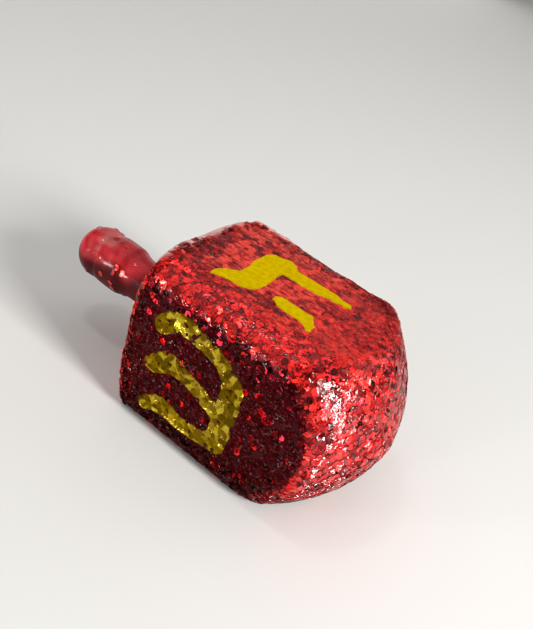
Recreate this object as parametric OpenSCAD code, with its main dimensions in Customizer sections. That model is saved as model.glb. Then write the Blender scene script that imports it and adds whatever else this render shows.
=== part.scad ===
// Dreidel: a four-sided spinning top for a table game, lying on one of its flat sides.
// A square wooden block with a lathe-turned nose takes a turned wooden handle, whose shank is
// glued into a blind bore that was drilled by hand a little off the block's middle. A coat of
// glitter and glue covers the block, a thinner coat covers the handle, and each of the four
// sides carries one painted game mark, flush with the coat.
//
// Each piece is drawn upright, with the spin axis along Z, the handle end of the block at Z = 0,
// the handle above it and the nose below it. lay_down() then sets the toy on its side: the nose
// points along +X, the side with the he mark faces +Z, and the origin is on the table under the
// middle of the whole toy.

/* [Block] */
// Width of the wooden block across its flats
block_w = 25; // [24:0.5:32]
// Length of the block from its handle end to the tip of the nose
block_len = 37.6; // [34:0.2:48]
// Radius of the four long edges
edge_r = 2.1; // [1:0.1:2.8]
// Radius of the four edges at the handle end
end_r = 1; // [0.5:0.1:1.8]
// Length of the nose, from its tip to where the turning reaches the long edges
nose_len = 11.1; // [8:0.1:14]
// Slope of the nose where its round tip ends, in degrees from square to the spin axis
nose_slope = 11; // [4:1:18]
// Radius of the round tip of the nose, on which the toy spins
tip_r = 6; // [2:0.5:7]
// How far inside the flats the turned shoulder at the handle end starts
shoulder_inset = 1.5; // [0.5:0.1:3]
// How far the shoulder takes down the corners at the handle end
shoulder_drop = 1.8; // [0.5:0.1:2.5]

/* [Handle] */
// Length of the handle that stands out of the block
handle_len = 21.4; // [18:0.2:28]
// Diameter of the round knob at the end of the handle
knob_d = 8.2; // [7.8:0.1:9.6]
// Length of the knob, from the groove below it to its end
knob_len = 5.5; // [5.2:0.1:7]
// Depth of the groove between knob and bead, below the thinner of the two
groove_depth = 0.3; // [0.1:0.05:0.6]
// Diameter of the bead below the groove
bead_d = 8.2; // [7.6:0.1:9.6]
// Length of the bead, from the groove to the top of the cove
bead_len = 4.6; // [3:0.1:5]
// Radius of the bead's upper edge
bead_edge_r = 0.8; // [0.3:0.1:1.2]
// Diameter of the neck that stands on the block
neck_d = 6.7; // [6.5:0.1:7.4]
// Radius of the cove that widens the neck to the bead
cove_r = 6; // [3:0.1:8]

/* [Glue joint] */
// How far the bore is drilled off the block's middle, away from the he side
bore_off_he = 0.55; // [0:0.05:1]
// How far the bore is drilled off the block's middle, away from the gimel side
bore_off_gimel = 0.4; // [0:0.05:1]
// Diameter of the shank that goes into the block
shank_d = 6; // [4:0.1:6.3]
// Length of the shank
shank_len = 12; // [8:0.5:15]
// Thickness of the glue round the shank
glue_t = 0.1; // [0.05:0.01:0.2]
// Depth of the glue under the end of the shank
glue_foot = 0.4; // [0.2:0.1:1]

/* [Coats] */
// Thickness of the glitter coat on the block
coat_t = 0.5; // [0.35:0.05:1]
// Thickness of the coat on the handle
handle_coat_t = 0.15; // [0.1:0.05:0.4]

/* [Marks] */
// Height of a painted mark
mark_h = 16.6; // [12:0.2:17.4]
// Depth of paint, from the face of the coat down
mark_depth = 0.25; // [0.1:0.05:0.4]
// Distance of the nun mark's middle from the coated handle end
nun_drop = 14.2; // [12:0.2:16]
// Distance of the gimel mark's middle from the coated handle end
gimel_drop = 14.2; // [12:0.2:16]
// Distance of the he mark's middle from the coated handle end
he_drop = 15.4; // [12:0.2:16]
// Distance of the shin mark's middle from the coated handle end
shin_drop = 13.2; // [12:0.2:16]

/* [Hidden] */
$fn = 96;

// Overrun of every cut and of every shape that only trims another
overrun = 1;

// Distance of the rounded long edges from the spin axis
corner_r = (block_w / 2 - edge_r) * sqrt(2) + edge_r;

// Nose: a round tip on the spin axis, and an arc that leaves it at nose_slope and runs to the
// long edges. Places are [distance from the axis, height].
nose_way = [sin(nose_slope), -cos(nose_slope)];
tip_centre = [0, tip_r - block_len];
nose_rim = [corner_r, nose_len - block_len];
rim_way = nose_rim - tip_centre;
nose_arc_r = pow(norm(rim_way - tip_r * nose_way), 2) / (2 * (tip_r - rim_way * nose_way));
nose_centre = tip_centre - (nose_arc_r - tip_r) * nose_way;

// Arc of the shoulder: level where it starts, and down by shoulder_drop at the long edges
shoulder_start_r = block_w / 2 - shoulder_inset;
shoulder_reach = corner_r - shoulder_start_r;
shoulder_r = (pow(shoulder_reach, 2) + pow(shoulder_drop, 2)) / (2 * shoulder_drop);

// Heights of the handle's stretches above the block
knob_centre_z = handle_len - knob_d / 2;
groove_d = min(knob_d, bead_d) - 2 * groove_depth;
bead_top_z = handle_len - knob_len;
bead_bottom_z = bead_top_z - bead_len;
cove_step = (bead_d - neck_d) / 2;
cove_z = bead_bottom_z - sqrt(pow(cove_r, 2) - pow(cove_r - cove_step, 2));

// Bore for the shank
bore_d = shank_d + 2 * glue_t;
bore_depth = shank_len + glue_foot;

// The finished toy, with its coats
coated_w = block_w + 2 * coat_t;
middle_z = (handle_len + handle_coat_t - block_len - coat_t) / 2;

// Brush strokes of each mark. A stroke is a chain of dabs [across, up, width], each a share of
// the mark's height, with the mark's middle at 0 and the handle upwards.
nun_stroke_shares = [
    [[-0.21, 0.46, 0.08], [-0.14, 0.37, 0.19], [0.00, 0.35, 0.22], [0.13, 0.35, 0.19]],
    [[0.15, 0.37, 0.18], [0.20, 0.06, 0.15], [0.17, -0.34, 0.17]],
    [[0.17, -0.38, 0.20], [-0.08, -0.40, 0.19], [-0.30, -0.37, 0.12]]
];
gimel_stroke_shares = [
    [[-0.19, 0.46, 0.08], [-0.12, 0.37, 0.19], [0.00, 0.35, 0.22], [0.09, 0.35, 0.19]],
    [[0.10, 0.36, 0.18], [0.15, 0.00, 0.15], [0.20, -0.43, 0.11]],
    [[0.12, -0.08, 0.11], [-0.06, -0.26, 0.16], [-0.22, -0.40, 0.18]]
];
he_stroke_shares = [
    [[-0.38, 0.46, 0.07], [-0.32, 0.35, 0.16], [-0.20, 0.25, 0.26],
     [0.03, 0.24, 0.28], [0.25, 0.25, 0.25]],
    [[0.24, 0.24, 0.19], [0.26, -0.05, 0.17], [0.30, -0.45, 0.08]],
    [[-0.20, -0.10, 0.15], [-0.21, -0.30, 0.17], [-0.26, -0.44, 0.11]]
];
shin_stroke_shares = [
    [[0.34, 0.42, 0.15], [0.47, 0.26, 0.18], [0.44, 0.00, 0.14],
     [0.39, -0.20, 0.14], [0.26, -0.36, 0.16]],
    [[-0.08, 0.42, 0.16], [0.04, 0.24, 0.18], [0.01, 0.00, 0.13],
     [-0.05, -0.17, 0.13], [-0.12, -0.34, 0.14]],
    [[-0.52, 0.40, 0.13], [-0.43, 0.22, 0.17], [-0.46, -0.02, 0.13], [-0.41, -0.32, 0.15]],
    [[-0.39, -0.37, 0.19], [-0.06, -0.39, 0.20], [0.24, -0.37, 0.19]]
];

// Points that a stroke takes between two dabs, and round each of its ends
brush_steps = 4;
brush_end_steps = 6;

// Quarter turns from the he side to the side that a mark is on
he_side = 0;
gimel_side = 1;
nun_side = 2;
shin_side = 3;

// Shapes that the pieces share

// Lays the upright toy on its nun side, with the nose along +X
module lay_down() {
    translate([middle_z, 0, coated_w / 2]) rotate([0, -90, 0]) children();
}

// Where the hand-drilled bore and all that stands in it lie, a little off the block's middle
module at_bore() {
    translate([-bore_off_he, -bore_off_gimel, 0]) children();
}

// Square of the given width with true round corners
module round_square(width, r) {
    flat = width - 2 * r;
    square([width, flat], center = true);
    square([flat, width], center = true);
    for (x = [-flat / 2, flat / 2], y = [-flat / 2, flat / 2])
        translate([x, y]) circle(r = r);
}

// Side view of the block with its two upper corners rounded, grown evenly by grow
module eased_side(grow) {
    flat = block_w - 2 * end_r;
    width = block_w + 2 * grow;
    depth = block_len + overrun + grow;
    translate([-flat / 2, -depth]) square([flat, depth + grow]);
    translate([-width / 2, -depth]) square([width, depth - end_r]);
    for (x = [-flat / 2, flat / 2]) translate([x, -end_r]) circle(r = end_r + grow);
}

// Everything from the spin axis outwards, to keep one half of a section
module one_half(depth) {
    translate([0, -depth]) square([2 * depth, 2 * depth]);
}

// Half section below the shoulder: the round tip, and the nose arc up to its widest place
module nose_section(grow, depth) {
    arc_r = nose_arc_r + grow;
    tip_end_z = nose_centre[1] + arc_r * nose_way[1];
    intersection() {
        translate(nose_centre) circle(r = arc_r);
        translate([0, tip_end_z]) square([2 * depth, 2 * depth]);
    }
    translate(tip_centre) circle(r = tip_r + grow);
    translate([0, nose_centre[1]]) square([nose_centre[0] + arc_r, 2 * depth]);
}

// Half section above the nose: the shoulder arc and the level end inside it
module shoulder_section(grow, depth) {
    arc_r = shoulder_r + grow;
    translate([0, -depth]) square([shoulder_start_r, depth + grow]);
    translate([0, -depth]) square([shoulder_start_r + arc_r, depth - shoulder_r]);
    translate([shoulder_start_r, -shoulder_r]) circle(r = arc_r);
}

// The block's outer form, grown evenly by grow: a square bar, turned at both ends
module block_form(grow) {
    depth = block_len + block_w;
    intersection() {
        translate([0, 0, -depth]) linear_extrude(2 * depth)
            round_square(block_w + 2 * grow, edge_r + grow);
        intersection_for(turn = [0, 90])
            rotate([90, 0, turn]) linear_extrude(2 * block_w, center = true) eased_side(grow);
        rotate_extrude() intersection() {
            nose_section(grow, depth);
            shoulder_section(grow, depth);
            one_half(depth);
        }
    }
}

// What the cove and the straight neck take away from the bead's width
module cove_cut(grow) {
    translate([neck_d / 2 + grow, -overrun]) square([bead_d, cove_z + overrun]);
    translate([neck_d / 2 + cove_r, cove_z]) circle(r = cove_r - grow);
}

// Half section of the handle above the block, grown evenly by grow
module handle_section(grow) {
    bead_flat_r = bead_d / 2 - bead_edge_r;
    bead_flat_z = bead_top_z - bead_edge_r;
    intersection() {
        union() {
            difference() {
                square([bead_d / 2 + grow, bead_flat_z]);
                cove_cut(grow);
            }
            square([bead_flat_r, bead_top_z + grow]);
            translate([bead_flat_r, bead_flat_z]) circle(r = bead_edge_r + grow);
            translate([0, bead_bottom_z])
                square([groove_d / 2 + grow, knob_centre_z - bead_bottom_z]);
            translate([0, knob_centre_z]) circle(r = knob_d / 2 + grow);
        }
        square([knob_d + bead_d, handle_len + overrun]);
    }
}

// A point of the smooth curve through the dabs, at a part t of the way from dab i to the next
function brush_point(dabs, i, t) =
    let (a = dabs[max(i - 1, 0)], b = dabs[i], c = dabs[i + 1], d = dabs[min(i + 2, len(dabs) - 1)])
    b + (c - a) * t / 2 + (2 * a - 5 * b + 4 * c - d) * pow(t, 2) / 2
        + (3 * b - a - 3 * c + d) * pow(t, 3) / 2;

// The whole curve, as points [across, up, width]
function brush_line(dabs) = [
    for (i = [0 : len(dabs) - 2], k = [0 : brush_steps - 1]) brush_point(dabs, i, k / brush_steps),
    dabs[len(dabs) - 1]
];

// Half the width of a line at its point i, square to the line and to the left
function brush_reach(line, i) =
    let (way = line[min(i + 1, len(line) - 1)] - line[max(i - 1, 0)])
    [-way[1], way[0]] / norm([way[0], way[1]]) * line[i][2] / 2;

function turned(v, angle) =
    [v[0] * cos(angle) - v[1] * sin(angle), v[0] * sin(angle) + v[1] * cos(angle)];

// One stroke: its left side, its far end, its right side back and its near end, as one outline
module brush_stroke(dab_shares) {
    line = brush_line(dab_shares * mark_h);
    last = len(line) - 1;
    place = [for (p = line) [p[0], p[1]]];
    reach = [for (i = [0 : last]) brush_reach(line, i)];
    ends = [for (k = [1 : brush_end_steps - 1]) -180 * k / brush_end_steps];
    polygon(concat(
        [for (i = [0 : last]) place[i] + reach[i]],
        [for (angle = ends) place[last] + turned(reach[last], angle)],
        [for (i = [last : -1 : 0]) place[i] - reach[i]],
        [for (angle = ends) place[0] - turned(reach[0], angle)]
    ));
}

// A painted mark on its side of the block, sunk flush into the coat and overrun by lift
module painted_mark(stroke_shares, side, drop, lift = 0) {
    rotate([0, 0, 90 * side]) translate([coated_w / 2 - mark_depth, 0, coat_t - drop])
        rotate([90, 0, 90]) linear_extrude(mark_depth + lift)
            for (stroke = stroke_shares) brush_stroke(stroke);
}

// The pieces

module body_block() {
    color("#d9b98a") lay_down() difference() {
        block_form(0);
        at_bore() translate([0, 0, -bore_depth]) cylinder(d = bore_d, h = bore_depth + overrun);
    }
}

module handle_peg() {
    color("#d2ae7c") lay_down() at_bore() {
        rotate_extrude() handle_section(0);
        translate([0, 0, -shank_len]) cylinder(d = shank_d, h = shank_len + neck_d / 2);
    }
}

module glue_line() {
    color("#e6d9b8") lay_down() at_bore() difference() {
        translate([0, 0, -bore_depth]) cylinder(d = bore_d, h = bore_depth);
        translate([0, 0, -shank_len]) cylinder(d = shank_d, h = shank_len + overrun);
    }
}

module glitter_coat() {
    color("#a8202a") lay_down() difference() {
        block_form(coat_t);
        block_form(0);
        at_bore() cylinder(d = neck_d, h = coat_t + overrun);
        painted_mark(nun_stroke_shares, nun_side, nun_drop, overrun);
        painted_mark(gimel_stroke_shares, gimel_side, gimel_drop, overrun);
        painted_mark(he_stroke_shares, he_side, he_drop, overrun);
        painted_mark(shin_stroke_shares, shin_side, shin_drop, overrun);
    }
}

module handle_coat() {
    color("#8c1820") lay_down() at_bore() difference() {
        rotate_extrude() handle_section(handle_coat_t);
        rotate_extrude() handle_section(0);
        cylinder(d = knob_d + bead_d, h = coat_t);
    }
}

module nun_mark() {
    color("#c9ae14") lay_down() painted_mark(nun_stroke_shares, nun_side, nun_drop);
}

module gimel_mark() {
    color("#c9ae14") lay_down() painted_mark(gimel_stroke_shares, gimel_side, gimel_drop);
}

module he_mark() {
    color("#c9ae14") lay_down() painted_mark(he_stroke_shares, he_side, he_drop);
}

module shin_mark() {
    color("#c9ae14") lay_down() painted_mark(shin_stroke_shares, shin_side, shin_drop);
}

body_block();
handle_peg();
glue_line();
glitter_coat();
handle_coat();
nun_mark();
gimel_mark();
he_mark();
shin_mark();
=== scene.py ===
import bpy
import numpy as np
from mathutils import Matrix, Vector


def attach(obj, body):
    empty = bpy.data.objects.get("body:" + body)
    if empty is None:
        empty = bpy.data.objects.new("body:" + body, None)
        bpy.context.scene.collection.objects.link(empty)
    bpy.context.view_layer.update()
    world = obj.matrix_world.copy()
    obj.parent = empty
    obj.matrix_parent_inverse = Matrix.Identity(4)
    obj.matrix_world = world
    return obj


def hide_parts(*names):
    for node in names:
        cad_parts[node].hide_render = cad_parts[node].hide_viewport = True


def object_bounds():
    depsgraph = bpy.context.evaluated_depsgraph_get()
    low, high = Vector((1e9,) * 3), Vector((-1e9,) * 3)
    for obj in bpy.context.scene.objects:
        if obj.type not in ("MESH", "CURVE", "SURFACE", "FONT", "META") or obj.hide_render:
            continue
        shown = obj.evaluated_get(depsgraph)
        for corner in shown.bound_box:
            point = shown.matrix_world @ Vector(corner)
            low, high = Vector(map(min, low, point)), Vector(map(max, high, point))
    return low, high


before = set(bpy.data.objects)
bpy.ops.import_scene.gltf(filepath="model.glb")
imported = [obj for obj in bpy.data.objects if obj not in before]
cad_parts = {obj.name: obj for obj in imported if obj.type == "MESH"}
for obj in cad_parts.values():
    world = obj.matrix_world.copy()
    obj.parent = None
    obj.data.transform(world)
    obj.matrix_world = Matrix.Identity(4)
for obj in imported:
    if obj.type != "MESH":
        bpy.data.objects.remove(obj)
cad_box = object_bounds()


# Block, handle peg and glue
# A square bar of birch, turned to a nose at one end and bored at the other, takes a turned birch
# peg that is glued into the bore. All of it is bare under the coats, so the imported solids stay.

MM = 0.001


def to_linear(colour):
    """Linear red, green, blue and 1 from an sRGB hex colour, each channel through the sRGB curve."""
    s = np.array([int(colour[i:i + 2], 16) for i in (1, 3, 5)]) / 255
    return (*np.where(s <= 0.04045, s / 12.92, ((s + 0.055) / 1.055) ** 2.4), 1.0)


def add_node(tree, kind, settings=None, links=None):
    """Add one node, set its properties and sockets, and link its sockets to (node, output) pairs."""
    node = tree.nodes.new(kind)
    for name, value in (settings or {}).items():
        if isinstance(name, int) or name in node.inputs:
            node.inputs[name].default_value = value
        else:
            setattr(node, name, value)
    for name, (source, output) in (links or {}).items():
        tree.links.new(source.outputs[output], node.inputs[name])
    return node


def new_finish(name):
    """A material with an empty node tree, and that tree."""
    finish = bpy.data.materials.new(name)
    finish.use_nodes = True
    finish.node_tree.nodes.clear()
    return finish, finish.node_tree


def show(tree, shader):
    """Join a shader to the material's surface."""
    add_node(tree, "ShaderNodeOutputMaterial", {}, {"Surface": (shader, "BSDF")})


# Turned birch: pale and close-grained, with fine streaks along the bar and a dull cut surface.
GRAIN_WIDTH, GRAIN_LENGTH = 0.5, 9.0
birch, tree = new_finish("turned_birch")
where = add_node(tree, "ShaderNodeTexCoord")
along = add_node(tree, "ShaderNodeMapping", {"Scale": (GRAIN_WIDTH / GRAIN_LENGTH, 1, 1)},
                 {"Vector": (where, "Object")})
grain = add_node(tree, "ShaderNodeTexNoise", {"Scale": 1 / (GRAIN_WIDTH * MM), "Detail": 3.0},
                 {"Vector": (along, "Vector")})
tint = add_node(tree, "ShaderNodeValToRGB", {}, {"Fac": (grain, "Fac")})
tint.color_ramp.elements[0].position, tint.color_ramp.elements[0].color = 0.3, to_linear("#b98f5c")
tint.color_ramp.elements[1].position, tint.color_ramp.elements[1].color = 0.7, to_linear("#dcbb8c")
pores = add_node(tree, "ShaderNodeBump", {"Strength": 0.3, "Distance": 0.05 * MM},
                 {"Height": (grain, "Fac")})
show(tree, add_node(tree, "ShaderNodeBsdfPrincipled", {"Roughness": 0.6},
                    {"Base Color": (tint, "Color"), "Normal": (pores, "Normal")}))

# White wood glue: set hard, ivory and slightly glossy, a little cloudy.
CLOUD = 1.5
white_glue, tree = new_finish("set_white_glue")
where = add_node(tree, "ShaderNodeTexCoord")
cloud = add_node(tree, "ShaderNodeTexNoise", {"Scale": 1 / (CLOUD * MM)}, {"Vector": (where, "Object")})
tint = add_node(tree, "ShaderNodeValToRGB", {}, {"Fac": (cloud, "Fac")})
tint.color_ramp.elements[0].color = to_linear("#d8c9a2")
tint.color_ramp.elements[1].color = to_linear("#efe6cc")
show(tree, add_node(tree, "ShaderNodeBsdfPrincipled", {"Roughness": 0.35},
                    {"Base Color": (tint, "Color")}))

for node, finish in (("body_block", birch), ("handle_peg", birch), ("glue_line", white_glue)):
    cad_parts[node].data.materials.clear()
    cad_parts[node].data.materials.append(finish)


# Bed of the glitter coat
# Thick red craft glue brushed over the whole block. It dries to a dark, lumpy, glossy skin that
# softens the block's edges and holds the flakes.

AXIS_Z = 13.0
BLOCK_W, BLOCK_LEN, EDGE_R = 25.0, 37.6, 2.1
COAT_T = 0.5
TIP_X = cad_box[1].x / MM - COAT_T
END_X = TIP_X - BLOCK_LEN
CORNER_R = (BLOCK_W / 2 - EDGE_R) * 2 ** 0.5 + EDGE_R
SHOULDER_IN, SHOULDER_DEEP = 1.5, 1.8
SHOULDER_START = BLOCK_W / 2 - SHOULDER_IN
SHOULDER_R = ((CORNER_R - SHOULDER_START) ** 2 + SHOULDER_DEEP ** 2) / (2 * SHOULDER_DEEP)
NOSE_LEN, NOSE_SLOPE, TIP_R = 11.1, np.radians(11), 6.0
nose_way = np.array([np.sin(NOSE_SLOPE), np.cos(NOSE_SLOPE)])
rim_way = np.array([CORNER_R, TIP_R - NOSE_LEN])
NOSE_ARC = ((rim_way - TIP_R * nose_way) ** 2).sum() / (2 * (TIP_R - rim_way @ nose_way))
NOSE_R, NOSE_X = np.array([0, TIP_X - TIP_R]) - (NOSE_ARC - TIP_R) * nose_way


def soft_max(a, b, ease):
    """The greater of two values, rounded over where they differ by less than ease."""
    near = np.maximum(ease - np.abs(a - b), 0) / ease
    return np.maximum(a, b) + near ** 2 * ease / 4


def block_faces(p, edge_r):
    """Distances outside the bare block's side bar, handle end, turned shoulder and turned nose: a
    square with corners of radius edge_r, a plane, and two arcs spun round the spin axis."""
    x, y, z = p[..., 0], p[..., 1], p[..., 2] - AXIS_Z
    r = np.hypot(y, z)
    q = np.abs(np.stack([y, z])) - (BLOCK_W / 2 - edge_r)
    bar = np.hypot(*np.maximum(q, 0)) + np.minimum(q.max(0), 0) - edge_r
    shoulder = np.hypot(np.maximum(r - SHOULDER_START, 0),
                        np.maximum(END_X + SHOULDER_R - x, 0)) - SHOULDER_R
    nose = np.hypot(r - NOSE_R, np.maximum(x - NOSE_X, 0)) - NOSE_ARC
    return bar, END_X - x, shoulder, nose


def outside(p, edge_r=EDGE_R, ease=1.2):
    """Distance outside the bare block in mm: the greatest of its faces' distances, eased together."""
    bar, end, shoulder, nose = block_faces(p, edge_r)
    return soft_max(soft_max(bar, soft_max(end, shoulder, ease), ease), nose, ease)


def outward(p, **form):
    """Unit normals of the block's form at points near it, from central differences."""
    step = 0.02
    n = np.stack([outside(p + step * axis, **form) - outside(p - step * axis, **form)
                  for axis in np.eye(3)], -1)
    return n / np.linalg.norm(n, axis=-1, keepdims=True)


WAVES = 40


def ripple(p, length, seed, stretch=1.0):
    """Smooth random lumps of about +-1: the sum of WAVES sine waves of random direction and phase,
    each about length mm long and stretched along the spin axis, over 1.6 times its usual size."""
    rng = np.random.default_rng(seed)
    way = rng.normal(size=(WAVES, 3))
    way *= (2 * np.pi / length * rng.uniform(0.6, 1.5, WAVES) / np.linalg.norm(way, axis=1))[:, None]
    way[:, 0] /= stretch
    return np.sin(p @ way.T + rng.uniform(0, 2 * np.pi, WAVES)).sum(-1) / (WAVES / 2) ** 0.5 / 1.6


def put_mesh(name, points, face_sets, smooth=True):
    """A linked object at the origin from points in mm and arrays of faces with equal corner counts."""
    mesh = bpy.data.meshes.new(name)
    corners = np.concatenate([f.ravel() for f in face_sets])
    sizes = np.concatenate([np.full(len(f), f.shape[1]) for f in face_sets])
    mesh.vertices.add(len(points))
    mesh.vertices.foreach_set("co", (points * MM).astype(np.float32).ravel())
    mesh.loops.add(len(corners))
    mesh.loops.foreach_set("vertex_index", corners.astype(np.int32))
    mesh.polygons.add(len(sizes))
    mesh.polygons.foreach_set("loop_start", (np.cumsum(sizes) - sizes).astype(np.int32))
    mesh.update(calc_edges=True)
    mesh.polygons.foreach_set("use_smooth", np.full(len(sizes), smooth))
    piece = bpy.data.objects.new(name, mesh)
    bpy.context.scene.collection.objects.link(piece)
    return piece


def closed_rings(rows, columns):
    """Faces of a tube of rows of points, closed at both ends by one pole point each, which come
    before and after the rows: a quad between neighbours, and a fan of triangles at each pole."""
    ring = 1 + np.arange(rows * columns).reshape(rows, columns)
    beside = np.roll(ring, -1, 1)
    quads = np.stack([ring[:-1], ring[1:], beside[1:], beside[:-1]], -1).reshape(-1, 4)
    first = np.stack([np.zeros(columns, int), ring[0], beside[0]], -1)
    last = np.stack([np.full(columns, 1 + rows * columns), beside[-1], ring[-1]], -1)
    return [quads, np.concatenate([first, last])]


def resampled(line, count):
    """Points at even steps along a polyline."""
    run = np.append(0, np.cumsum(np.linalg.norm(np.diff(line, axis=0), axis=1)))
    at = np.linspace(0, run[-1], count)
    return np.stack([np.interp(at, run, line[:, k]) for k in range(line.shape[1])], -1)


MIDDLE_X, SIDE_END_X = 11.0, 24.0
RAY_LEN, HALVINGS = 40.0, 36


def coat_rays(rows, side_columns):
    """Rays from the block's middle through a square box round it: its handle end, sides and nose,
    in even steps from one pole on the spin axis to the other."""
    middle = np.array([MIDDLE_X, 0.0, AXIS_Z])
    half = BLOCK_W / 2
    corners = np.array([[END_X, 0], [END_X, half], [SIDE_END_X, half], [TIP_X, 0]])
    meridian = resampled(corners, rows + 2)
    c = np.arange(side_columns) / side_columns * 2 - 1
    one = np.ones(side_columns)
    loop = np.concatenate([np.stack(s, -1) for s in ((one, c), (-c, one), (-one, -c), (c, -one))])
    x, r = meridian[1:-1, 0], meridian[1:-1, 1]
    way = np.stack([np.broadcast_to((x - middle[0])[:, None], (rows, len(loop))),
                    r[:, None] * loop[:, 0], r[:, None] * loop[:, 1]], -1).reshape(-1, 3)
    way = np.concatenate([[[-1, 0, 0]], way, [[1, 0, 0]]])
    return middle, way / np.linalg.norm(way, axis=1, keepdims=True)


def coat_surface(rows, side_columns, height):
    """Points where those rays leave the block's form grown by height, found by halving."""
    middle, way = coat_rays(rows, side_columns)
    low, high = np.zeros(len(way)), np.full(len(way), RAY_LEN)
    for _ in range(HALVINGS):
        mid = (low + high) / 2
        p = middle + way * mid[:, None]
        inside = outside(p) < height
        low, high = np.where(inside, mid, low), np.where(inside, high, mid)
    return middle + way * low[:, None]


def dress(piece, finish, slot, *nodes):
    """Give a piece its finish, let it ride on the toy, and hide the solids that it stands for."""
    piece.data.materials.append(finish)
    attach(piece, "root")
    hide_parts(*nodes)


def ramp(value, low, high):
    """0 below low and 1 above high, with a smooth step between."""
    t = np.clip((value - low) / (high - low), 0, 1)
    return t * t * (3 - 2 * t)


SIDES = {"he": (0, 0, 1), "gimel": (0, 1, 0), "nun": (0, 0, -1), "shin": (0, -1, 0)}


def side_films(p):
    """Shares from 0 to 1 of milky sealer, on the he and gimel sides, and of painted shade, which darkens
    the shin and nun sides, the edge between these two and the underside of the nose. Each is a smooth
    step of which way the surface faces. The milk ends raggedly on the he side, short of its edge with the
    shin side, and thins towards the nose. The painted shade ends just under that edge."""
    n = outward(p)
    faces = {side: ramp(n @ np.array(way, float), 0.93, 0.99) for side, way in SIDES.items()}
    over_edge = ramp(n @ np.array((0, 0.45, 0.89)), 0.77, 0.86)
    from_edge = p[:, 1] + BLOCK_W / 2 + COAT_T + 1.3 * ripple(p, 5, 11)
    under_edge = AXIS_Z + BLOCK_W / 2 + COAT_T - p[:, 2] + 0.6 * ripple(p, 2.5, 12)
    milk = np.maximum(over_edge * ramp(from_edge, 3, 7.5), 0.6 * faces["gimel"])
    milk *= 0.9 - 0.5 * ramp(p[:, 0] + 1.5 * ripple(p, 4, 14), 11, 18)
    low_edge = ramp(n @ np.array((0, -0.71, -0.71)), 0.75, 0.9)
    under_nose = ramp(n[:, 0], 0.15, 0.4) * ramp(-n[:, 2] + 0.25 * ripple(p, 3, 15, 2.0), 0.3, 0.6)
    shin = faces["shin"] * ramp(under_edge, 1.2, 2.4)
    # Painted shade: darker on the shin side, the lower edges, the underside of the nose and, at half
    # strength, the nun side.
    soak = np.max([shin, low_edge, 0.95 * under_nose, 0.5 * faces["nun"]], axis=0)
    return milk, soak


PALE_W, PALE_IN = 0.9, 0.8


def pale_bead(p):
    """Share from 0 to 1 of a pale bead along the far edges of the he side, where the glue gathered: its
    pale colour is a painted sheen. It is a bell curve of the distance to its edge at the handle end, and
    to a line PALE_IN inside its edge with the gimel side, which fades out along the toy."""
    top = p[:, 2] - AXIS_Z - BLOCK_W / 2
    end_edge = np.hypot(p[:, 0] - END_X, top)
    far_edge = np.hypot(p[:, 1] - BLOCK_W / 2 + PALE_IN, top) + 2 * ramp(p[:, 0] - END_X, 3, 16)
    near = np.exp(-(np.minimum(end_edge, far_edge) / PALE_W) ** 2)
    return np.clip(near * (1.5 + 0.6 * ripple(p, 3, 13)), 0, 1)


def milk_thickness(p):
    """Thickness of the milky sealer, about 0.7: broad lumps, drawn out along the toy by the brush, and
    a little more towards the nose."""
    return 0.68 + 0.004 * p[:, 0] + 0.12 * ripple(p, 7, 168, 1.6) + 0.09 * ripple(p, 2.2, 16, 1.6)


def mark_points(piece, **values):
    """Store a number or a vector per point of a piece's mesh, for its material to read."""
    for label, value in values.items():
        kind, key = ("FLOAT_VECTOR", "vector") if value.ndim == 2 else ("FLOAT", "value")
        stored = piece.data.attributes.new(label, kind, "POINT")
        stored.data.foreach_set(key, value.astype(np.float32).ravel())


# The glue is BED_T thick, with fine and broad lumps. It is thicker under the films of milk and where
# shade is painted, and in beads round the handle end, along the pale line and where the far upper sides
# meet the nose.
BED_T, FILM_T, BEAD_T, PALE_T, RIM_T = 0.43, 0.03, 0.3, 0.35, 0.45
FINE_LUMP, BROAD_LUMP, BEAD_W = 0.025, 0.04, 0.9
OFF_TABLE = 0.03
ROWS, SIDE_COLUMNS = 160, 74
thin_points = coat_surface(ROWS, SIDE_COLUMNS, BED_T)
milk, soak = side_films(thin_points)
# The pale bead's colour is a painted sheen along the far edges.
pale = pale_bead(thin_points)
bar, end, shoulder, nose = block_faces(thin_points, EDGE_R)
bead = np.exp(-((np.minimum(bar, np.maximum(end, shoulder)) - BED_T) / BEAD_W) ** 2)
rise = FINE_LUMP * ripple(thin_points, 1.6, 1) + BROAD_LUMP * ripple(thin_points, 6, 2)
rise += FILM_T * (milk + soak)
rise += BEAD_T * bead * (0.7 + 0.4 * ripple(thin_points, 8, 3))
rim = np.exp(-((np.minimum(bar, nose) - BED_T) / BEAD_W) ** 2) * ramp(thin_points[:, 1], 2, 10)
rise += PALE_T * pale + RIM_T * rim * ramp(thin_points[:, 2], AXIS_Z, AXIS_Z + 8)
bed_points = thin_points + outward(thin_points) * rise[:, None]
bed_points[:, 2] = np.maximum(bed_points[:, 2], OFF_TABLE)
coat_bed = put_mesh("coat_bed", bed_points, closed_rings(ROWS, 4 * SIDE_COLUMNS))
mark_points(coat_bed, milk=milk, soak=soak, thick=milk_thickness(thin_points), pale=pale,
            gloss=0.3 * (1 - 0.5 * milk) * (1 - 0.95 * soak))

# Dried red craft glue: dark and glossy, and dark maroon where shade is painted on the shin side and the
# undersides. The milky sealer on top of it is paler, with brush streaks along the toy, thin dark patches,
# and the flakes under it showing as soft cells. The bead along the far edges is painted almost white, as
# a painted sheen.
STREAK_WIDTH, STREAK_LENGTH, CELL = 0.35, 1.6, 0.9


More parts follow.
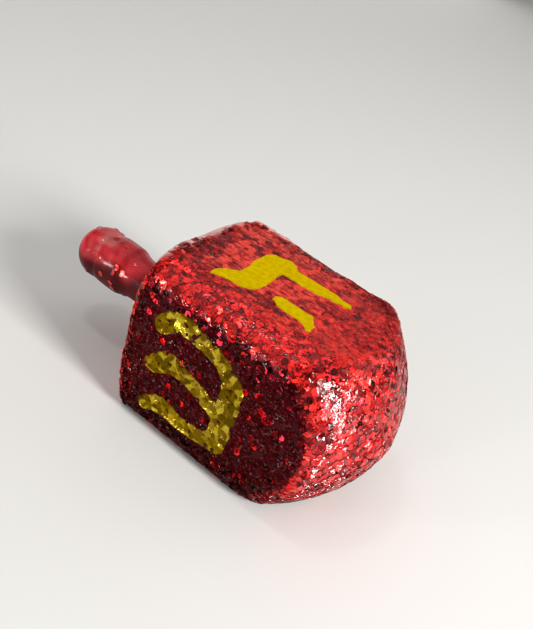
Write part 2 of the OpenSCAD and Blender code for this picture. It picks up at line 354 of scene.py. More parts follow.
def milky_red(tree, where):
    """Colour of the milky sealer: streaks, cells and patches added up, on a ramp from thin to thick."""
    along = add_node(tree, "ShaderNodeMapping", {"Scale": (STREAK_WIDTH / STREAK_LENGTH, 1, 1)},
                     {"Vector": (where, "Object")})
    streak = add_node(tree, "ShaderNodeTexNoise", {"Scale": 1 / (STREAK_WIDTH * MM), "Detail": 2.0},
                      {"Vector": (along, "Vector")})
    cells = add_node(tree, "ShaderNodeTexVoronoi", {"Scale": 1 / (CELL * MM)},
                     {"Vector": (where, "Object")})
    one = add_node(tree, "ShaderNodeSeparateColor", {}, {"Color": (cells, "Color")})
    patch = add_node(tree, "ShaderNodeAttribute", {"attribute_name": "thick"})
    fine = add_node(tree, "ShaderNodeMath", {"operation": "MULTIPLY_ADD", 1: 0.4},
                    {0: (one, "Red"), 2: (streak, "Fac")})
    both = add_node(tree, "ShaderNodeMath", {"operation": "ADD"},
                    {0: (patch, "Fac"), 1: (fine, "Value")})
    thick = add_node(tree, "ShaderNodeMapRange", {"From Min": 1.17, "From Max": 1.6},
                     {"Value": (both, "Value")})
    milky = add_node(tree, "ShaderNodeValToRGB", {}, {"Fac": (thick, "Result")})
    milky.color_ramp.elements[0].color = to_linear("#42080d")
    milky.color_ramp.elements[1].color = to_linear("#e8483a")
    milky.color_ramp.elements.new(0.5).color = to_linear("#a01e18")
    return milky


LUMP, BRUSH = 0.6, 2.2
red_glue, tree = new_finish("brushed_red_craft_glue")
where = add_node(tree, "ShaderNodeTexCoord")
thin = add_node(tree, "ShaderNodeTexNoise", {"Scale": 1 / (BRUSH * MM), "Detail": 3.0},
                {"Vector": (where, "Object")})
glue = add_node(tree, "ShaderNodeValToRGB", {}, {"Fac": (thin, "Fac")})
glue.color_ramp.elements[0].position, glue.color_ramp.elements[0].color = 0.35, to_linear("#5c080c")
glue.color_ramp.elements[1].position, glue.color_ramp.elements[1].color = 0.7, to_linear("#a81418")
milk_share = add_node(tree, "ShaderNodeAttribute", {"attribute_name": "milk"})
soak_share = add_node(tree, "ShaderNodeAttribute", {"attribute_name": "soak"})
glossy = add_node(tree, "ShaderNodeAttribute", {"attribute_name": "gloss"})
# Painted shade: the glue turns dark maroon where the shade mask lies.
soaked = add_node(tree, "ShaderNodeMix", {"data_type": "RGBA", 7: to_linear("#36050a")},
                  {0: (soak_share, "Fac"), 6: (glue, "Color")})
brushed = add_node(tree, "ShaderNodeMix", {"data_type": "RGBA"},
                   {0: (milk_share, "Fac"), 6: (soaked, 2), 7: (milky_red(tree, where), "Color")})
pale_share = add_node(tree, "ShaderNodeAttribute", {"attribute_name": "pale"})
# Painted sheen: the pale bead mixes in a near white pink.
colour = add_node(tree, "ShaderNodeMix", {"data_type": "RGBA", 7: to_linear("#d4a49c")},
                  {0: (pale_share, "Fac"), 6: (brushed, 2)})
bumps = add_node(tree, "ShaderNodeTexNoise", {"Scale": 1 / (LUMP * MM), "Detail": 1.0},
                 {"Vector": (where, "Object")})
bump = add_node(tree, "ShaderNodeBump", {"Strength": 1.0, "Distance": 0.1 * MM},
                {"Height": (bumps, "Fac")})
show(tree, add_node(tree, "ShaderNodeBsdfPrincipled",
                    {"Roughness": 0.45, "Specular IOR Level": 0.05, "Coat Roughness": 0.06},
                    {"Base Color": (colour, 2), "Normal": (bump, "Normal"),
                     "Coat Normal": (bump, "Normal"), "Coat Weight": (glossy, "Fac")}))
dress(coat_bed, red_glue, "red_glitter", "glitter_coat")


# Painted marks, as lines on the four sides
# One brushed game mark on each side, all in the same gold craft paint. The strokes are laid out
# before the flakes, because no flakes are laid where the film of paint would hide them.

MARK_H, SPREAD = 16.6, 0.33
DROPS = {"he": 15.4, "gimel": 14.2, "nun": 14.2, "shin": 13.2}
STROKES = {
    "nun": [[(-.21, .46, .08), (-.14, .37, .19), (.00, .35, .22), (.13, .35, .19)],
            [(.15, .37, .18), (.20, .06, .15), (.17, -.34, .17)],
            [(.17, -.38, .20), (-.08, -.40, .19), (-.30, -.37, .12)]],
    "gimel": [[(-.19, .46, .08), (-.12, .37, .19), (.00, .35, .22), (.09, .35, .19)],
              [(.10, .36, .18), (.15, .00, .15), (.20, -.43, .11)],
              [(.12, -.08, .11), (-.06, -.26, .16), (-.22, -.40, .18)]],
    "shin": [[(.34, .42, .15), (.47, .26, .18), (.44, .00, .14), (.39, -.20, .14), (.26, -.36, .16)],
             [(-.08, .42, .16), (.04, .24, .18), (.01, .00, .13), (-.05, -.17, .13), (-.12, -.34, .14)],
             [(-.52, .40, .13), (-.43, .22, .17), (-.46, -.02, .13), (-.41, -.32, .15)],
             [(-.39, -.37, .19), (-.06, -.39, .20), (.24, -.37, .19)]],
}


def dabs_along(shares, steps=16):
    """Closely set round dabs [across, up, radius] in mm along the smooth curve through a stroke's
    dabs: a cubic between neighbours whose slope at each dab is half the way between those beside it."""
    d = np.array(shares) * MARK_H
    b, c = d[:-1], d[1:]
    a, e = np.vstack([d[:1], d[:-2]]), np.vstack([d[2:], d[-1:]])
    t = (np.arange(steps) / steps)[:, None, None]
    line = b + (c - a) * t / 2 + (2 * a - 5 * b + 4 * c - e) * t ** 2 / 2
    line = line + (3 * b - a - 3 * c + e) * t ** 3 / 2
    return np.vstack([line.transpose(1, 0, 2).reshape(-1, 3), d[-1:]]) * (1, 1, 0.5)


def on_mark(p, mark):
    """Places on a mark's side: [across to the right, up towards the handle] from its middle, mm."""
    right = np.cross((-1, 0, 0), SIDES[mark])
    return np.stack([(p - (0, 0, AXIS_Z)) @ right, END_X - COAT_T + DROPS[mark] - p[..., 0]], -1)


# The he mark is brushed flat with drawn-out ends, so it has outlines of its own: places in mm, across
# and up from its middle.
HE_OUTLINE = [
    [(-6.9, 8.3), (-5.4, 8.4), (-3.8, 7.6), (-2.6, 6.2), (-.4, 6.2), (1.3, 6.7), (4.7, 6.7), (6.0, 6.0),
     (6.3, 4.6), (7.0, 3.5), (6.4, 1.8), (5.6, 1.3), (5.7, -1.6), (5.9, -5.4), (5.5, -7.0), (5.7, -8.3),
     (4.7, -8.7), (4.0, -8.1), (3.6, -6.1), (2.8, -3.4), (2.4, -1.2), (2.5, 1.9), (1.3, 2.0), (-.4, 1.7),
     (-2.2, 1.5), (-4.2, 1.8), (-5.5, 2.8), (-6.0, 4.6), (-6.2, 6.4), (-6.9, 7.8)],
    [(-4.1, -.6), (-2.9, -.4), (-2.0, -1.2), (-2.0, -3.4), (-2.0, -5.4), (-1.7, -6.3), (-2.5, -7.0),
     (-3.3, -7.6), (-3.9, -8.2), (-5.6, -8.3), (-5.7, -7.4), (-5.0, -6.4), (-4.8, -5.2), (-5.0, -4.3),
     (-4.8, -2.1)],
]


def off_outline(place, outline):
    """Distance outside a closed outline, negative inside: the distance to its nearest edge, with the
    sign of how often a level line from the place crosses the edges."""
    a = np.array(outline)
    b = np.roll(a, -1, 0)
    edge, to = b - a, place[:, None] - a
    t = np.clip((to * edge).sum(-1) / (edge ** 2).sum(-1), 0, 1)
    far = np.linalg.norm(to - t[..., None] * edge, axis=-1).min(1)
    spans = (a[:, 1] > place[:, 1:]) != (b[:, 1] > place[:, 1:])
    crosses = spans & (to[..., 0] < to[..., 1] * edge[:, 0] / np.where(edge[:, 1] == 0, 1, edge[:, 1]))
    return np.where(crosses.sum(1) % 2 == 1, -far, far)


BATCH = 4000


def off_mark(place, mark):
    """Distance outside a mark's brushed outline in mm, negative inside it: for strokes, the least
    distance outside their dabs, less SPREAD. The places are taken in batches to spare memory."""
    if mark == "he":
        return np.min([off_outline(place, outline) for outline in HE_OUTLINE], 0)
    dabs = np.vstack([dabs_along(shares) for shares in STROKES[mark]])
    gaps = []
    for part in np.array_split(place, max(1, len(place) // BATCH)):
        far = np.hypot(part[:, None, 0] - dabs[:, 0], part[:, None, 1] - dabs[:, 1])
        gaps.append((far - dabs[:, 2]).min(1))
    return np.concatenate(gaps) - SPREAD


# Glitter flakes
# Six-sided flakes about 1 mm across, die-cut from aluminised polyester film dyed red, shaken into
# the wet glue. They overlap, lie nearly flat on the sides and stand more steeply on edges and nose.

FLAKE_W, FLAKE_T = 1.05, 0.04
FLAKES_PER_MM2 = 3.1
HEX, CORNERS = 6, 12


def scattered(points, quads, count, rng):
    """Random points spread evenly over quads: a quad drawn by its area, then a place inside it."""
    a, b, c, d = (points[quads[:, k]] for k in range(4))
    area = np.linalg.norm(np.cross(c - a, d - b), axis=1)
    pick = rng.choice(len(quads), count, p=area / area.sum())
    s, t = rng.random((2, count, 1))
    a, b, c, d = a[pick], b[pick], c[pick], d[pick]
    return a * (1 - s) * (1 - t) + b * s * (1 - t) + c * s * t + d * (1 - s) * t


def flake_points(centre, normal, width, rng):
    """Corners of thin six-sided plates: two hexagons of each width, turned at random about their
    normal, FLAKE_T apart."""
    a = np.cross(normal, rng.normal(size=normal.shape))
    a /= np.linalg.norm(a, axis=1, keepdims=True)
    b = np.cross(normal, a)
    turn = np.arange(HEX) * np.pi / 3
    spokes = np.cos(turn)[:, None] * a[:, None] + np.sin(turn)[:, None] * b[:, None]
    rim = spokes * width[:, None, None] / 2
    lift = normal[:, None] * FLAKE_T / 2
    return np.concatenate([centre[:, None] + rim + lift, centre[:, None] + rim - lift], 1)


def put_flakes(name, corners, **values):
    """One object of many plates: six corners above, six below, six walls. Each of values is kept for
    all the corners of a plate."""
    base = np.arange(len(corners))[:, None] * CORNERS
    up, beside = np.arange(HEX), np.roll(np.arange(HEX), -1)
    caps = np.concatenate([base + up, base + HEX + up[::-1]])
    walls = (base[:, None] + np.stack([up + HEX, beside + HEX, beside, up], -1)).reshape(-1, 4)
    piece = put_mesh(name, corners.reshape(-1, 3), [caps, walls], smooth=False)
    mark_points(piece, **{label: v.reshape(-1, 3) if v.ndim == 3 else np.repeat(v, CORNERS, 0)
                          for label, v in values.items()})
    return piece


# Where the flakes lie: scattered evenly over the bed, each counted to the side that it lies on
REGIONS = ("he", "gimel", "nun", "shin", "nose", "handle_end")
HE, GIMEL, NUN, SHIN, NOSE, HANDLE_END = range(len(REGIONS))
rng = np.random.default_rng(18)
quads = closed_rings(ROWS, 4 * SIDE_COLUMNS)[0]
area = np.linalg.norm(np.cross(bed_points[quads[:, 2]] - bed_points[quads[:, 0]],
                               bed_points[quads[:, 3]] - bed_points[quads[:, 1]]), axis=1).sum() / 2
count = int(area * FLAKES_PER_MM2)
at = scattered(bed_points, quads, count, rng)
face_way = outward(at)
soft_way = outward(at, edge_r=6.0, ease=1.5)
bar, end, shoulder, nose = block_faces(at, EDGE_R)
across = np.abs(at[:, 1]) > np.abs(at[:, 2] - AXIS_Z)
region = np.where(across, np.where(at[:, 1] > 0, GIMEL, SHIN), np.where(at[:, 2] > AXIS_Z, HE, NUN))
region = np.where(np.maximum(end, shoulder) > bar, HANDLE_END, region)
region = np.where(nose > bar, NOSE, region)
on_nose = region == NOSE
edge = np.clip((1 - (face_way * soft_way).sum(1)) / 0.03, 0, 1)

# How they lie: nearly flat in the glue, and flusher under milk. Each flake's film is bent, so it
# mirrors as if it leaned further than the plate does, most of all on the nose.
LIE, LEAN = np.radians(3), np.radians([7, 8, 8, 11, 14, 10])
LOW, HIGH = 0.43, 0.50
WHOLE_SHARE, ABOVE_TABLE = 0.8, 0.005
milk, soak = side_films(at)
thick = milk_thickness(at)
flush = (1 - 0.7 * milk)[:, None]
lie = face_way + LIE * flush * (1 + edge)[:, None] * rng.normal(size=(count, 3))
lie /= np.linalg.norm(lie, axis=1, keepdims=True)
lean = soft_way + (LEAN[region] * (1 + 0.3 * edge))[:, None] * rng.normal(size=(count, 3))
lean /= np.linalg.norm(lean, axis=1, keepdims=True)
centre = at + face_way * flush * rng.uniform(LOW - BED_T, HIGH - BED_T, count)[:, None]
whole = rng.random(count) < WHOLE_SHARE
width = FLAKE_W * np.where(whole, rng.normal(1, 0.06, count), rng.uniform(0.5, 0.8, count))
corners = flake_points(centre, lie, width, rng)
corners[..., 2] += np.maximum(ABOVE_TABLE - corners[..., 2].min(1), 0)[:, None]

# How the sealer lies on them: along the block's form, in small waves that are rougher where shade is
# painted and low on the nose. Some flakes low on the nose stand proud, so their sealer faces up.
SEAL_RIPPLE, PROUD_SHARE, PROUD_UP = 0.7, 0.34, 0.9
down = -soft_way[:, 2]
rim = corners.reshape(-1, 3)
wave = np.stack([ripple(rim, SEAL_RIPPLE, seed) for seed in (31, 32, 33)], -1)
rough = 0.12 + 0.4 * soak + on_nose * (0.08 + 0.4 * ramp(down, -0.2, 0.3))
proud = on_nose * ramp(down, -0.5, 0.0) * (np.random.default_rng(19).random(count) < PROUD_SHARE)
seal = outward(rim, edge_r=3.0, ease=2.0) + np.repeat(rough, CORNERS)[:, None] * wave
seal += np.repeat(proud, CORNERS)[:, None] * (0, 0, PROUD_UP)
seal = (seal / np.linalg.norm(seal, axis=1, keepdims=True)).reshape(-1, CORNERS, 3)

# How bright and glossy they are: of random brightness, darkened by painted shade apart from a few that it
# spares, and glossiest on the bright flakes of the nose
SPARED_SHARE = 0.1
spared = np.where(rng.random(count) < SPARED_SHARE, rng.uniform(0.2, 0.9, count), 0)
tone = np.clip(rng.normal(0.68, np.where(on_nose, 0.34, 0.27)), 0.22, 1)
# Painted shade darkens the flakes' tone, but less on the few that are spared.
tone *= 1 - 0.92 * soak * (1 - spared)
gloss = np.where(on_nose, 1.0, 0.4) * (1 - 0.7 * milk) * (1 - 0.95 * soak)
gloss *= 1 - 0.55 * ramp(down, 0.1, 0.6)
gloss *= 1 - 0.6 * on_nose * ramp(soft_way[:, 1], 0.1, 0.5)
gloss *= np.where(on_nose, np.clip(1.5 * tone, 0.2, 1), 1)
gloss = np.maximum(gloss, proud)

# Which are left out: those that the pale bead or the gold paint covers
bare = pale_bead(at) < rng.uniform(0.35, 0.85, count)
painted = np.zeros(count, bool)
for mark, out in SIDES.items():
    facing = (face_way @ np.array(out, float) > 0.98) & (region < NOSE)
    gap = np.full(count, 1.0)
    gap[facing] = off_mark(on_mark(centre[facing], mark), mark)
    painted |= gap + 0.12 * rng.normal(size=count) < -0.1

# Dyed metallised film under a clear gloss sealer: each flake is a small red mirror, bright or dark
# by what it faces and uneven through the wavy sealer, which adds white glints. Milky sealer dulls it.
FILM_WAVE, SEAL_WAVE = 0.3, 0.4
red_film, tree = new_finish("red_metallised_film_sealed")
where = add_node(tree, "ShaderNodeTexCoord")
uneven = add_node(tree, "ShaderNodeTexNoise", {"Scale": 1 / (FILM_WAVE * MM), "Detail": 2.0},
                  {"Vector": (where, "Object")})
shift = add_node(tree, "ShaderNodeMapRange",
                 {"From Min": 0.3, "From Max": 0.7, "To Min": -0.6, "To Max": 0.6},
                 {"Value": (uneven, "Fac")})
toned = add_node(tree, "ShaderNodeAttribute", {"attribute_name": "tone"})
scaled = add_node(tree, "ShaderNodeMath", {"operation": "ADD", 1: 1.0}, {0: (shift, "Result")})
shade = add_node(tree, "ShaderNodeMath", {"operation": "MULTIPLY"},
                 {0: (toned, "Fac"), 1: (scaled, "Value")})
dye = add_node(tree, "ShaderNodeValToRGB", {}, {"Fac": (shade, "Value")})
dye.color_ramp.elements[0].color = to_linear("#32050a")
dye.color_ramp.elements[1].color = to_linear("#ff342c")
dye.color_ramp.elements.new(0.3).color = to_linear("#6c0910")
dye.color_ramp.elements.new(0.65).color = to_linear("#ee1e1c")
milk_share = add_node(tree, "ShaderNodeAttribute", {"attribute_name": "milk"})
colour = add_node(tree, "ShaderNodeMix", {"data_type": "RGBA"},
                  {0: (milk_share, "Fac"), 6: (dye, "Color"), 7: (milky_red(tree, where), "Color")})
metal = add_node(tree, "ShaderNodeMapRange", {"To Min": 0.9, "To Max": 0.3},
                 {"Value": (milk_share, "Fac")})
dull = add_node(tree, "ShaderNodeMapRange", {"To Min": 0.14, "To Max": 0.5},
                {"Value": (milk_share, "Fac")})
glossy = add_node(tree, "ShaderNodeAttribute", {"attribute_name": "gloss"})
ridge = add_node(tree, "ShaderNodeMapRange", {"From Min": 0.58, "From Max": 0.66},
                 {"Value": (uneven, "Fac")})
sealer = add_node(tree, "ShaderNodeMix", {3: 1.0}, {0: (ridge, "Result"), 2: (glossy, "Fac")})
leaning = add_node(tree, "ShaderNodeAttribute", {"attribute_name": "lean"})
warp = add_node(tree, "ShaderNodeBump", {"Strength": 1.0, "Distance": 0.02 * MM},
                {"Height": (uneven, "Fac"), "Normal": (leaning, "Vector")})
sealed = add_node(tree, "ShaderNodeAttribute", {"attribute_name": "seal"})
waves = add_node(tree, "ShaderNodeTexNoise", {"Scale": 1 / (SEAL_WAVE * MM), "Detail": 1.0},
                 {"Vector": (where, "Object")})
wavy = add_node(tree, "ShaderNodeBump", {"Strength": 1.0, "Distance": 0.07 * MM},
                {"Height": (waves, "Fac"), "Normal": (sealed, "Vector")})
show(tree, add_node(tree, "ShaderNodeBsdfPrincipled",
                    {"Specular IOR Level": 0.1, "Specular Tint": to_linear("#c01418"),
                     "Coat Roughness": 0.06},
                    {"Base Color": (colour, 2), "Metallic": (metal, "Result"),
                     "Roughness": (dull, "Result"), "Normal": (warp, "Normal"),
                     "Coat Weight": (sealer, 0), "Coat Normal": (wavy, "Normal")}))

for k, label in enumerate(REGIONS):
    mine = (region == k) & bare & ~painted
    flakes = put_flakes("flakes_" + label, corners[mine], tone=tone[mine], milk=milk[mine],
                        thick=thick[mine], gloss=gloss[mine], lean=lean[mine], seal=seal[mine])
    dress(flakes, red_film, "red_glitter", "glitter_coat")


# Coat of the handle
# The turned peg is brushed with two thick coats of gloss red paint, which soften its groove and
# bead. A few stray flakes are stuck in the paint.

HANDLE_LEN, KNOB_R, KNOB_LEN, GROOVE_R = 21.4, 4.1, 5.5, 3.8
BEAD_R, BEAD_LEN, BEAD_EDGE, NECK_R, COVE_R = 4.1, 4.6, 0.8, 3.35, 6.0
HANDLE_Y, HANDLE_Z = -0.4, AXIS_Z - 0.55
PAINT_T, FOOT_T, FOOT_H = 0.15, 0.9, 1.2


def handle_radius(h):
    """Radius of the wooden handle at heights h above the block: the greatest of neck, cove, bead
    with its rounded edge, groove and round knob."""
    bead_top = HANDLE_LEN - KNOB_LEN
    bead_foot = bead_top - BEAD_LEN
    cove_foot = bead_foot - (COVE_R ** 2 - (COVE_R - BEAD_R + NECK_R) ** 2) ** 0.5
    up = np.clip(h - cove_foot, 0, bead_foot - cove_foot)
    cove = NECK_R + COVE_R - np.sqrt(np.maximum(COVE_R ** 2 - up ** 2, 0))
    over = np.maximum(h - bead_top + BEAD_EDGE, 0)
    bead = BEAD_R - BEAD_EDGE + np.sqrt(np.maximum(BEAD_EDGE ** 2 - over ** 2, 0))
    knob_mid = HANDLE_LEN - KNOB_R
    knob = np.sqrt(np.maximum(KNOB_R ** 2 - (h - knob_mid) ** 2, 0))
    shaft = np.where(h < bead_foot, cove, np.where(h < bead_top, bead, 0))
    return np.maximum(np.maximum(shaft, knob), np.where(h < knob_mid, GROOVE_R * (h > bead_foot), 0))


# The paint's profile: the wood's, blurred over about a millimetre apart from the round end, plus the
# paint's thickness, plus a fillet of paint at the foot. It is spun round the handle's own axis.
HANDLE_ROWS, HANDLE_COLUMNS = 150, 96
SAMPLES, BLUR_HALF, ROUND_LEN, FOOT_START = 900, 30, 4, 0.2
h = np.linspace(0, HANDLE_LEN, SAMPLES)
r = handle_radius(h)
blur = np.exp(-np.linspace(-2, 2, 2 * BLUR_HALF + 1) ** 2)
soft = np.convolve(np.pad(r, BLUR_HALF, mode="edge"), blur / blur.sum(), mode="valid")
r = np.where(h < HANDLE_LEN - ROUND_LEN, soft, r) + PAINT_T * (r > 0) + FOOT_T * np.exp(-h / FOOT_H)
line = np.concatenate([np.stack([h[h > FOOT_START], r[h > FOOT_START]], -1), [[HANDLE_LEN + PAINT_T, 0]]])
line = resampled(np.concatenate([[[FOOT_START, 0]], line]), HANDLE_ROWS + 2)
turn = np.arange(HANDLE_COLUMNS) * 2 * np.pi / HANDLE_COLUMNS
up, out = line[1:-1, 0, None], line[1:-1, 1, None]
rings = np.broadcast_arrays(END_X - up, HANDLE_Y + out * np.cos(turn), HANDLE_Z - out * np.sin(turn))
poles = [[END_X - line[k, 0], HANDLE_Y, HANDLE_Z] for k in (0, -1)]
handle_points = np.concatenate([poles[:1], np.stack(rings, -1).reshape(-1, 3), poles[1:]])
from_axis = handle_points * (0, 1, 1) - (0, HANDLE_Y, HANDLE_Z)
lumps = 0.010 * ripple(handle_points, 4, 5) + 0.002 * ripple(handle_points, 1.2, 6, 2.0)
handle_points += from_axis * lumps[:, None]
handle_paint = put_mesh("handle_paint", handle_points, closed_rings(HANDLE_ROWS, HANDLE_COLUMNS))

# Gloss red craft paint: deep red, uneven in soft sags, with a wet gloss. Painted shade makes it maroon on
# the lower side and towards the neck, and a painted highlight pales it on top, by the groove.
SAG, NECK_LEN, PALE_LEN = 1.8, 11, 2.5
down = -from_axis[:, 2] / np.maximum(np.linalg.norm(from_axis, axis=1), 0.1)
# Painted shade: darker on the lower side and towards the neck.
soak = 0.9 * ramp(down + 0.2 * ripple(handle_points, 5, 8)
                  + 1.1 * ramp(handle_points[:, 0], END_X - NECK_LEN, END_X - 2), -0.7, 0.1)
from_groove = handle_points[:, 0] - END_X + HANDLE_LEN - KNOB_LEN
# Painted highlight: paler on top, by the groove.
on_top = ramp(-down + 0.3 * ripple(handle_points, 2, 9), 0.7, 1.1)
pale = 0.25 * np.exp(-(from_groove / PALE_LEN) ** 2) * on_top
mark_points(handle_paint, soak=soak, pale=pale, gloss=0.3 * (1 - 0.8 * soak))
red_paint, tree = new_finish("brushed_gloss_red_paint")
where = add_node(tree, "ShaderNodeTexCoord")
sags = add_node(tree, "ShaderNodeTexNoise", {"Scale": 1 / (SAG * MM), "Detail": 3.0},
                {"Vector": (where, "Object")})
tint = add_node(tree, "ShaderNodeValToRGB", {}, {"Fac": (sags, "Fac")})
tint.color_ramp.elements[0].position, tint.color_ramp.elements[0].color = 0.3, to_linear("#9c181f")
tint.color_ramp.elements[1].position, tint.color_ramp.elements[1].color = 0.7, to_linear("#ca2f36")
soak_share = add_node(tree, "ShaderNodeAttribute", {"attribute_name": "soak"})
# Painted shade: the paint turns near black maroon where the shade mask lies.
soaked = add_node(tree, "ShaderNodeMix", {"data_type": "RGBA", 7: to_linear("#1c0305")},
                  {0: (soak_share, "Fac"), 6: (tint, "Color")})
pale_share = add_node(tree, "ShaderNodeAttribute", {"attribute_name": "pale"})
# Painted highlight: the pale share mixes in a near white pink.
colour = add_node(tree, "ShaderNodeMix", {"data_type": "RGBA", 7: to_linear("#d4a49c")},
                  {0: (pale_share, "Fac"), 6: (soaked, 2)})
glossy = add_node(tree, "ShaderNodeAttribute", {"attribute_name": "gloss"})
sagged = add_node(tree, "ShaderNodeBump", {"Strength": 0.6, "Distance": 0.12 * MM},
                  {"Height": (sags, "Fac")})
show(tree, add_node(tree, "ShaderNodeBsdfPrincipled",
                    {"Roughness": 0.4, "Specular IOR Level": 0.05, "Coat Roughness": 0.1},
                    {"Base Color": (colour, 2), "Normal": (sagged, "Normal"),
                     "Coat Weight": (glossy, "Fac"), "Coat Normal": (sagged, "Normal")}))
dress(handle_paint, red_paint, "red_lacquer", "handle_coat")

# Stray flakes, scattered over all but the foot of the handle and pressed flat into its paint
STRAY, PROUD_BY = 46, 0.02
rng = np.random.default_rng(7)
quads = closed_rings(HANDLE_ROWS, HANDLE_COLUMNS)[0]
at = scattered(handle_points, quads[len(quads) // 8:], STRAY, rng)
knob_x = END_X - HANDLE_LEN + KNOB_R
way = at * (0, 1, 1) - (0, HANDLE_Y, HANDLE_Z) + (at[:, :1] < knob_x) * (at - (knob_x, 0, 0)) * (1, 0, 0)
way /= np.linalg.norm(way, axis=1, keepdims=True)
askew = way + 0.12 * rng.normal(size=(STRAY, 3))
askew /= np.linalg.norm(askew, axis=1, keepdims=True)
plates = flake_points(at + PROUD_BY * way, askew, np.full(STRAY, FLAKE_W), rng)
stray = put_flakes("handle_flakes", plates, tone=rng.uniform(0.5, 1, STRAY),
                   milk=rng.uniform(0.3, 0.8, STRAY), thick=np.full(STRAY, 0.7),
                   gloss=np.full(STRAY, 0.6), lean=askew, seal=way)
dress(stray, red_film, "red_lacquer", "handle_coat")


# Gold marks
# Each mark is brushed on in metallic gold craft paint over the sealed flakes. The film follows the
# flakes under it, so they show as gold facets, except on the top side, where it is thick and flat.

FILM_STEP, FILM_REACH = 0.16, 0.7 * MARK_H
GOLD_T, SUNK, SINK_W, NUDGE = 0.06, 0.38, 0.35, 0.02
PROUD = {"he": 0.58, "gimel": 0.58, "nun": 0.48, "shin": 0.58}
RELIEF = {"he": 0.015, "gimel": 0.1, "nun": 0.01, "shin": 0.1}


def off_film(place, mark):
    """Distance outside a mark's film: that outside its outline, made a little ragged by ripples."""
    return off_mark(place, mark) + 0.05 * ripple(np.c_[place, 0 * place[:, :1]], 0.9, 41)


def film_sheet(mark):
    """Points and quads of a mark's film: a square grid cut to the cells that the mark reaches, its
    outer points drawn onto the mark's outline and sunk there into the flakes, the rest rising with
    the distance from the outline to a rippled sheet."""
    u = np.arange(-FILM_REACH, FILM_REACH, FILM_STEP)
    place = np.stack(np.meshgrid(u, u), -1).reshape(-1, 2)
    gap = off_film(place, mark)
    i = np.arange(len(place)).reshape(len(u), len(u))
    quads = np.stack([i[:-1, :-1], i[:-1, 1:], i[1:, 1:], i[1:, :-1]], -1).reshape(-1, 4)
    quads = quads[gap[quads].min(1) < 0]
    kept, quads = np.unique(quads, return_inverse=True)
    place, gap = place[kept], gap[kept]
    slope = np.stack([off_film(place + NUDGE * way, mark) - gap for way in np.eye(2)], -1) / NUDGE
    steep = np.maximum((slope ** 2).sum(1, keepdims=True), 0.2)
    place = place - np.maximum(gap, 0)[:, None] * slope / steep
    inner = ramp(-gap, 0, SINK_W)
    out = np.array(SIDES[mark], float)
    right = np.cross((-1, 0, 0), out)
    flat = place[:, :1] * right + out * BLOCK_W / 2 + (0, 0, AXIS_Z)
    flat[:, 0] = END_X - COAT_T + DROPS[mark] - place[:, 1]
    rise = SUNK + (PROUD[mark] - SUNK) * inner + RELIEF[mark] * inner * ripple(flat, 1.2, 43)
    return flat + out * rise[:, None], quads.reshape(-1, 4)


def flakes_under(points, mark):
    """For each point of a mark, which flake lies under the paint and how that flake is tilted: the
    nearest of many scattered flake centres, each with a random tilt."""
    centre = rng.uniform(-MARK_H, MARK_H, (int(4 * MARK_H ** 2 / CELL ** 2), 2))
    parts = np.array_split(on_mark(points, mark), len(points) // 1000 + 1)
    cell = np.concatenate([((q[:, None] - centre) ** 2).sum(-1).argmin(1) for q in parts])
    return cell, rng.normal(size=(len(centre), 3))[cell]


# Metallic gold craft paint: mica in a clear binder, which shines gold from most sides, with a soft
# sheen and small dark pits. Where it is thin over the flakes they show as darker and paler facets.
PIT, MICA = 0.35, 0.12


def gold_finish(name, dark, deep, pale, rough):
    """Gold paint from dark over deep to pale by each point's tone, mottled by small pits, leaning as
    the flakes under it lie."""
    finish, tree = new_finish(name)
    where = add_node(tree, "ShaderNodeTexCoord")
    mottle = add_node(tree, "ShaderNodeTexNoise", {"Scale": 1 / (PIT * MM), "Detail": 3.0},
                      {"Vector": (where, "Object")})
    mica = add_node(tree, "ShaderNodeTexNoise", {"Scale": 1 / (MICA * MM)},
                    {"Vector": (where, "Object")})
    toned = add_node(tree, "ShaderNodeAttribute", {"attribute_name": "tone"})
    pits = add_node(tree, "ShaderNodeMapRange",
                    {"From Min": 0.25, "From Max": 0.4, "To Min": -0.25, "To Max": 0.0},
                    {"Value": (mottle, "Fac")})
    shade = add_node(tree, "ShaderNodeMath", {"operation": "ADD"},
                     {0: (toned, "Fac"), 1: (pits, "Result")})
    tint = add_node(tree, "ShaderNodeValToRGB", {}, {"Fac": (shade, "Value")})
    tint.color_ramp.elements[0].color = to_linear(dark)
    tint.color_ramp.elements[1].color = to_linear(pale)
    tint.color_ramp.elements.new(0.5).color = to_linear(deep)
    leaning = add_node(tree, "ShaderNodeAttribute", {"attribute_name": "lean"})
    fine = add_node(tree, "ShaderNodeBump", {"Strength": 0.35, "Distance": 0.03 * MM},
                    {"Height": (mica, "Fac"), "Normal": (leaning, "Vector")})
    pitted = add_node(tree, "ShaderNodeBump", {"Strength": 0.8, "Distance": 0.1 * MM},
                      {"Height": (mottle, "Fac"), "Normal": (fine, "Normal")})
    show(tree, add_node(tree, "ShaderNodeBsdfPrincipled",
                        {"Metallic": 1.0, "Roughness": rough, "Specular Tint": to_linear(pale)},
                        {"Base Color": (tint, "Color"), "Normal": (pitted, "Normal")}))
    return finish


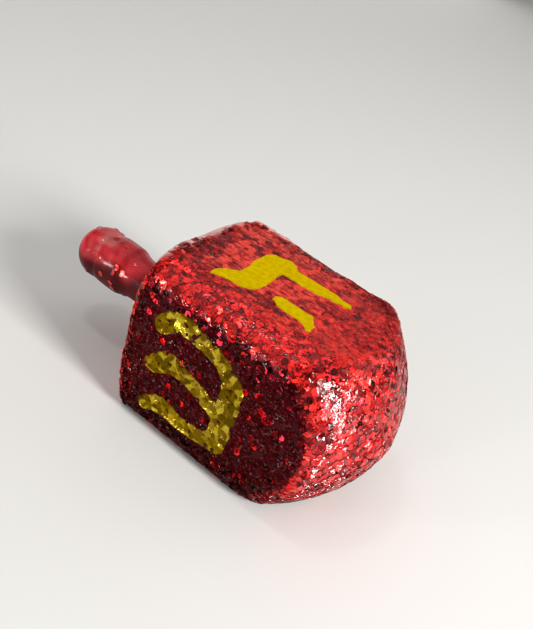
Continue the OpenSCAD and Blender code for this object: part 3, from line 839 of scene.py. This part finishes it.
flat_gold = gold_finish("brushed_gold_craft_paint", "#a08800", "#d2b400", "#f2d200", 0.5)
facet_gold = gold_finish("gold_craft_paint_on_flakes", "#221a02", "#846616", "#ffe850", 0.16)
for mark in SIDES:
    points, faces = film_sheet(mark)
    film = put_mesh(mark + "_paint", points, [faces])
    cell, tilt = flakes_under(points, mark)
    if mark == "he":
        finish, tilt_by, tone = flat_gold, 0.03, 0.9 + 0.15 * ripple(points, 0.9, 51)
    else:
        finish, tilt_by, tone = facet_gold, 0.16, rng.uniform(0.2, 0.75, cell.max() + 1)[cell]
    bumpy = np.stack([RELIEF[mark] / 0.1 * ripple(points, 0.8, seed) for seed in (52, 53, 54)], -1)
    lean = np.array(SIDES[mark]) + tilt_by * tilt + 0.2 * bumpy
    mark_points(film, tone=tone, lean=lean / np.linalg.norm(lean, axis=1, keepdims=True))
    film.modifiers.new("film", "SOLIDIFY").thickness = GOLD_T * MM
    dress(film, finish, "gold_paint", mark + "_mark")


# Studio
# A plain pale table, broad soft lamps and cards above, behind, in front and beside the nose, small
# bright lamps that make the glints, and the camera at the photograph's place.

TABLE_HALF = 900
square = np.array([[-1, -1, 0], [1, -1, 0], [1, 1, 0], [-1, 1, 0]], float)
table = put_mesh("table", TABLE_HALF * square, [np.array([[0, 1, 2, 3]])], smooth=False)
pale_table, tree = new_finish("pale_table")
show(tree, add_node(tree, "ShaderNodeBsdfPrincipled",
                    {"Base Color": to_linear("#d2d0cc"), "Roughness": 0.8}))
table.data.materials.append(pale_table)

LOOK_AT = Vector((10.9, 0, 13)) * MM


def soft_lamp(name, way, far, wide, tall, radiance):
    """A rectangular lamp in direction way at far mm, facing the toy; its power is pi times its area
    times its radiance."""
    data = bpy.data.lights.new(name, "AREA")
    data.shape, data.size, data.size_y = "RECTANGLE", wide * MM, tall * MM
    data.energy = np.pi * wide * tall * MM ** 2 * radiance
    lamp = bpy.data.objects.new(name, data)
    lamp.location = LOOK_AT + Vector(way).normalized() * far * MM
    lamp.rotation_euler = Vector(way).to_track_quat("Z", "Y").to_euler()
    bpy.context.scene.collection.objects.link(lamp)


soft_lamp("overhead_softbox", (-0.25, 0.15, 0.95), 480, 560, 460, 0.82)
soft_lamp("back_softbox", (0.55, 0.62, 0.56), 900, 610, 610, 1.2)
soft_lamp("back_card", (-0.15, 0.84, 0.50), 520, 640, 260, 0.5)
soft_lamp("low_back_card", (-0.66, 0.75, 0.12), 500, 420, 120, 1.2)
soft_lamp("front_card", (-0.36, -0.62, 0.70), 460, 360, 300, 0.65)
soft_lamp("nose_softbox", (0.93, -0.10, 0.33), 460, 280, 220, 0.8)
soft_lamp("nose_spark", (0.85, -0.15, 0.50), 450, 115, 115, 58.0)
soft_lamp("low_nose_spark", (0.98, -0.08, 0.12), 450, 84, 84, 40.0)
soft_lamp("edge_spark", (-0.3, -0.1, 0.95), 440, 40, 40, 30.0)
soft_lamp("low_spark_left", (-0.62, -0.78, 0.12), 450, 56, 56, 64.0)
soft_lamp("low_spark_right", (-0.25, -0.96, 0.12), 450, 56, 56, 64.0)

world = bpy.data.worlds.new("studio")
world.use_nodes = True
world.node_tree.nodes["Background"].inputs["Color"].default_value = (0.12, 0.12, 0.12, 1)
bpy.context.scene.world = world

eye = bpy.data.cameras.new("camera")
eye.sensor_width, eye.lens, eye.clip_start, eye.clip_end = 36, 43.3, 0.005, 10
camera = bpy.data.objects.new("camera", eye)
place = np.array([END_X + 52.265, -81.414, 80.96])
axes = np.array([(0.77142, 0.57212, 0.27857),
                 (-0.52825, 0.33169, 0.78162),
                 (0.35477, -0.75011, 0.55809)])
camera.matrix_world = Matrix.Translation(Vector(place * MM)) @ Matrix(axes.T).to_4x4()
bpy.context.scene.collection.objects.link(camera)
bpy.context.scene.camera = camera
bpy.context.scene.view_settings.view_transform = "Standard"
